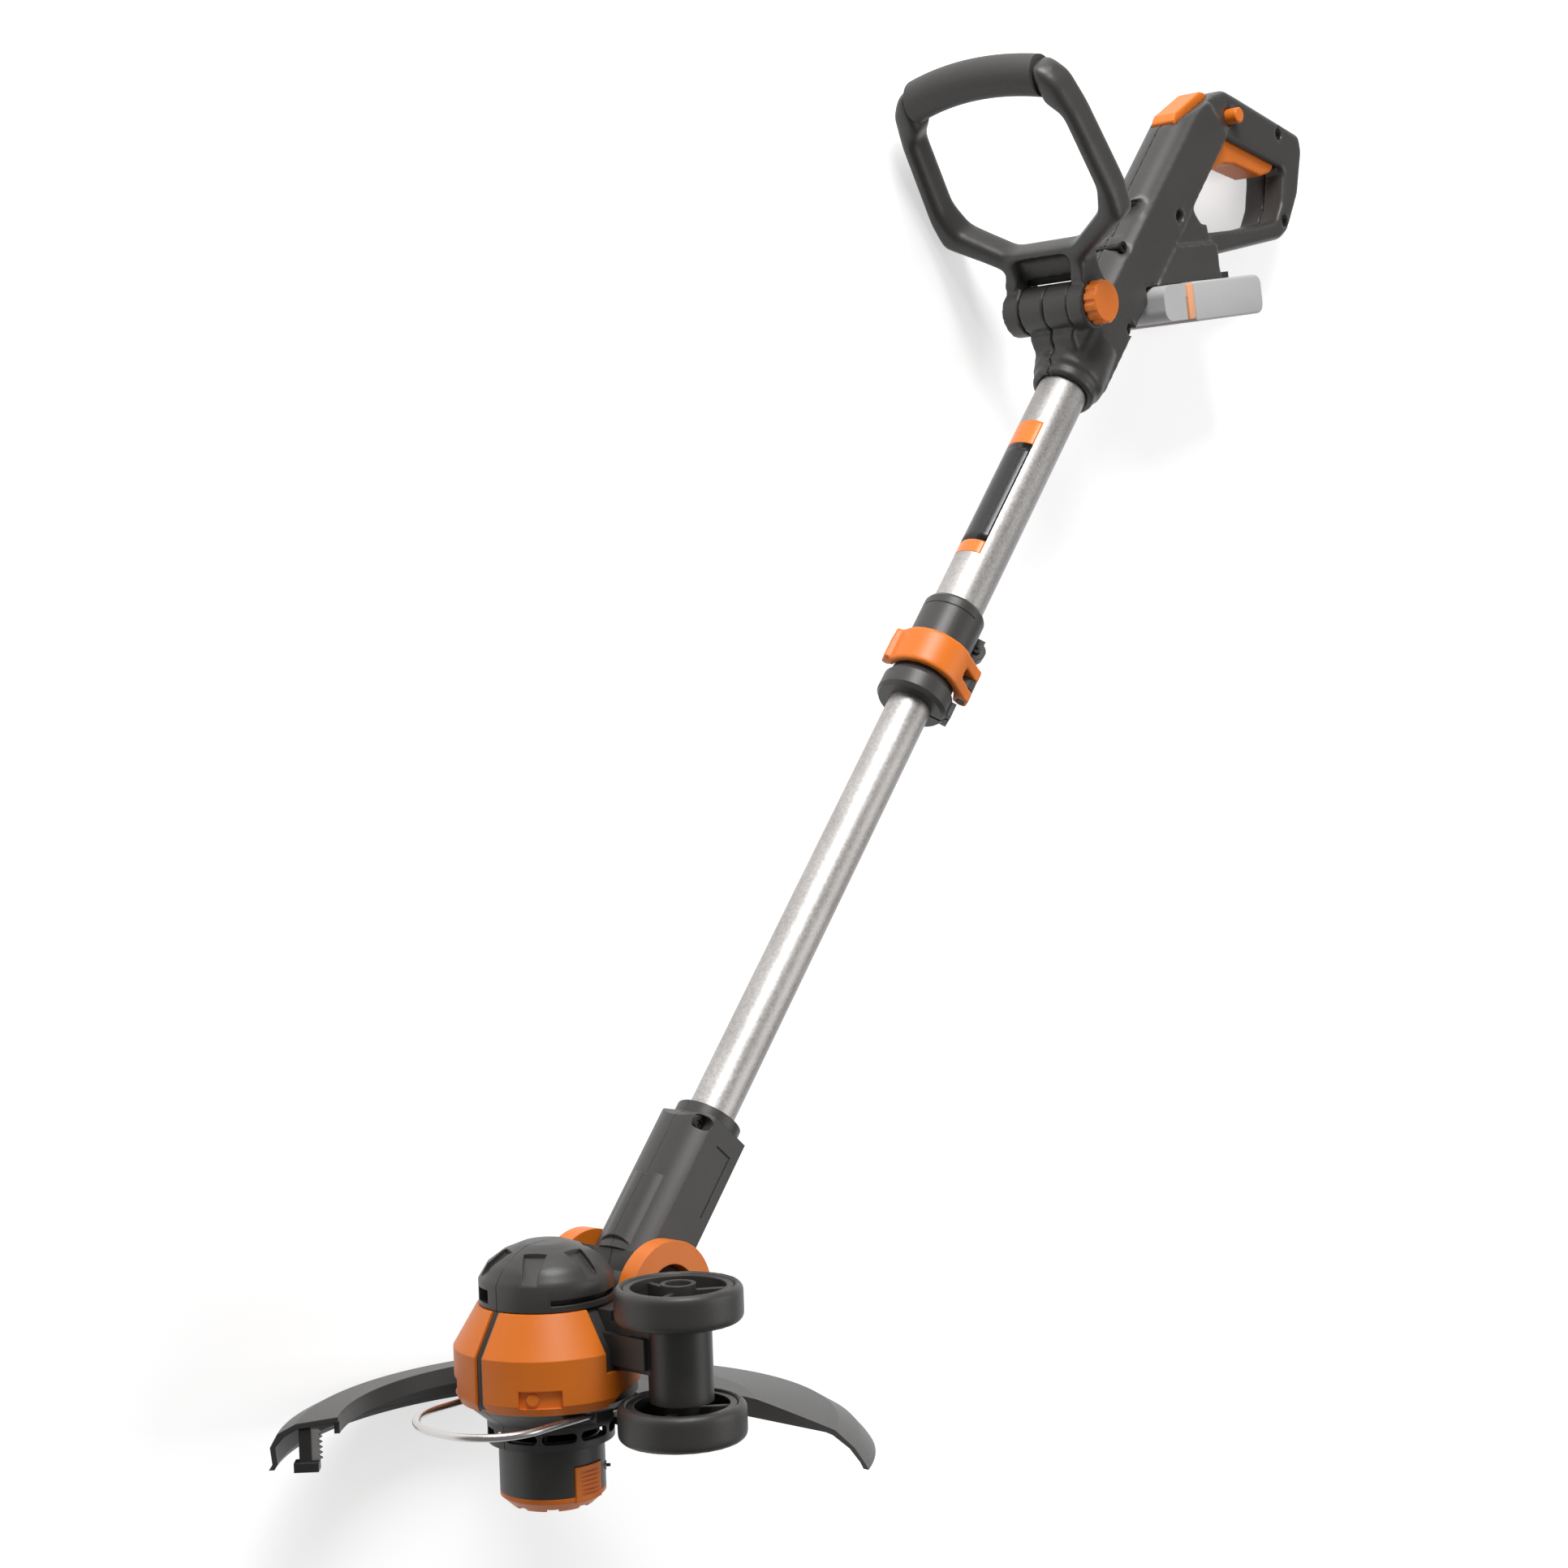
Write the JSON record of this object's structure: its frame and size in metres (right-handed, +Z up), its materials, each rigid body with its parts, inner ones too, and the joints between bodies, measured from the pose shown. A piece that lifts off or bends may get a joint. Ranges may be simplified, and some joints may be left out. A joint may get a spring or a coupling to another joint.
{
  "type": "cordless string trimmer",
  "caption": "Cordless string trimmer with a telescoping tube, tilting motor head with line spool, guard and wheels, loop handle, D-grip with trigger and slide-in battery.",
  "frame": {"origin": "centre of the bounding box at floor level, with the tool lying at rest on its right side", "axes": "+X from the motor head towards the rear grip along the floor, +Y from the tool's back to its front, +Z up from the floor"},
  "size_m": [1.1464, 0.3424, 0.2851],
  "materials": {
    "dark_plastic": "fine textured moulding",
    "orange_plastic": "satin moulding",
    "soft_grip": "soft satin",
    "tyre_plastic": "satin moulding",
    "tube_aluminium": "brushed",
    "steel": "bright drawn",
    "spring_steel": "drawn wire",
    "motor_steel": "plated can",
    "battery_grey": "satin moulding",
    "battery_orange": "satin moulding",
    "line_nylon": "drawn nylon",
    "board": "lacquered circuit board",
    "brass": "plain"
  },
  "bodies": {
    "rear_handle": {"handle_left": "dark_plastic", "handle_right": "dark_plastic", "handle_screws": "steel", "trigger_switch": "dark_plastic", "controller": "board", "battery_terminals": "brass", "upper_tube": "tube_aluminium", "clamp_collar": "dark_plastic", "clamp_bolt": "steel", "lever_pin": "steel"},
    "trigger": {"trigger": "orange_plastic"},
    "lock_button": {"lock_button": "orange_plastic"},
    "feed_button": {"feed_button": "orange_plastic"},
    "battery": {"battery_case": "battery_grey", "battery_band": "battery_orange"},
    "battery_latch": {"battery_latch": "dark_plastic"},
    "loop": {"loop_handle": "dark_plastic", "loop_grip": "soft_grip", "loop_bolt": "steel"},
    "loop_knob": {"loop_knob": "orange_plastic"},
    "cam_lever": {"cam_lever": "orange_plastic"},
    "tube_guide": {"tube_guide": "dark_plastic"},
    "lower_shaft": {"lower_tube": "tube_aluminium", "yoke_left": "dark_plastic", "yoke_right": "dark_plastic", "yoke_screws": "steel"},
    "head": {"motor_housing_left": "dark_plastic", "motor_housing_right": "dark_plastic", "motor_cover_left": "orange_plastic", "motor_cover_right": "orange_plastic", "wheel_bracket": "dark_plastic", "wheel_axle": "steel", "cutting_guard": "dark_plastic", "cutter_holder": "dark_plastic", "line_cutter": "steel", "motor": "motor_steel", "tilt_pin": "steel", "tilt_cap_left": "dark_plastic", "tilt_cap_right": "dark_plastic", "tilt_arch_left": "orange_plastic", "tilt_arch_right": "orange_plastic"},
    "spool": {"spool_cup": "dark_plastic", "spool_cap": "orange_plastic", "line_spool": "dark_plastic", "cutting_line": "line_nylon", "spool_spring": "spring_steel", "line_eyelet": "steel", "motor_shaft": "steel", "cooling_fan": "dark_plastic"},
    "wheel_upper": {"wheel_upper": "dark_plastic", "tyre_upper": "tyre_plastic"},
    "wheel_lower": {"wheel_lower": "dark_plastic", "tyre_lower": "tyre_plastic"},
    "plant_guard": {"plant_guard_wire": "steel"}
  },
  "joints": [
    {"name": "trigger_squeeze", "type": "hinge", "parent": "rear_handle", "child": "trigger", "pos_m": [0.53259, -0.10013, 0.02218], "axis": [-0.1289, 0.122, -0.9841], "range_deg": [0, 4.5], "stiffness_Nm_per_rad": 4, "springref_deg": -2.86},
    {"name": "lock_press", "type": "slide", "parent": "rear_handle", "child": "lock_button", "axis": [-0.1289, 0.122, -0.9841], "range_m": [0, 0.004], "stiffness_N_per_m": 800, "springref_m": -0.002},
    {"name": "feed_press", "type": "slide", "parent": "rear_handle", "child": "feed_button", "axis": [-0.3349, -0.9394, -0.0726], "range_m": [0, 0.003], "stiffness_N_per_m": 900, "springref_m": -0.002},
    {"name": "battery_slide", "type": "slide", "parent": "rear_handle", "child": "battery", "axis": [0.7333, -0.6564, -0.1775], "range_m": [0, 0.11]},
    {"name": "latch_press", "type": "slide", "parent": "battery", "child": "battery_latch", "axis": [-0.6676, -0.7445, -0.0049], "range_m": [0, 0.003], "stiffness_N_per_m": 900, "springref_m": -0.002},
    {"name": "loop_tilt", "type": "hinge", "parent": "rear_handle", "child": "loop", "pos_m": [0.28698, 0.01104, 0.06815], "axis": [0.1289, -0.122, 0.9841], "range_deg": [-10, 30]},
    {"name": "knob_turn", "type": "hinge", "parent": "loop", "child": "loop_knob", "pos_m": [0.28698, 0.01104, 0.06815], "axis": [0.1289, -0.122, 0.9841], "continuous": true},
    {"name": "lever_swing", "type": "hinge", "parent": "rear_handle", "child": "cam_lever", "pos_m": [0.02457, -0.04798, 0.11289], "axis": [0.9915, 0, -0.1299], "range_deg": [0, 100]},
    {"name": "shaft_length", "type": "slide", "parent": "rear_handle", "child": "tube_guide", "axis": [0.9915, 0, -0.1299], "range_m": [-0.1, 0.1]},
    {"name": "shaft_turn", "type": "hinge", "parent": "tube_guide", "child": "lower_shaft", "pos_m": [0.10493, -0.02668, 0.08732], "axis": [0.9915, 0, -0.1299], "range_deg": [0, 180]},
    {"name": "head_tilt", "type": "hinge", "parent": "lower_shaft", "child": "head", "pos_m": [-0.40273, -0.02668, 0.15384], "axis": [0.1289, -0.122, 0.9841], "range_deg": [0, 50]},
    {"name": "spool_spin", "type": "hinge", "parent": "head", "child": "spool", "pos_m": [-0.49383, -0.02987, 0.16538], "axis": [0.7689, 0.639, -0.0215], "continuous": true},
    {"name": "wheel_upper_roll", "type": "hinge", "parent": "head", "child": "wheel_upper", "pos_m": [-0.43412, -0.02105, 0.23741], "axis": [0.7689, 0.639, -0.0215], "continuous": true},
    {"name": "wheel_lower_roll", "type": "hinge", "parent": "head", "child": "wheel_lower", "pos_m": [-0.43412, -0.02105, 0.23741], "axis": [0.7689, 0.639, -0.0215], "continuous": true},
    {"name": "plant_guard_slide", "type": "slide", "parent": "head", "child": "plant_guard", "axis": [-0.6263, 0.7594, 0.1762], "range_m": [0, 0.03]}
  ]
}
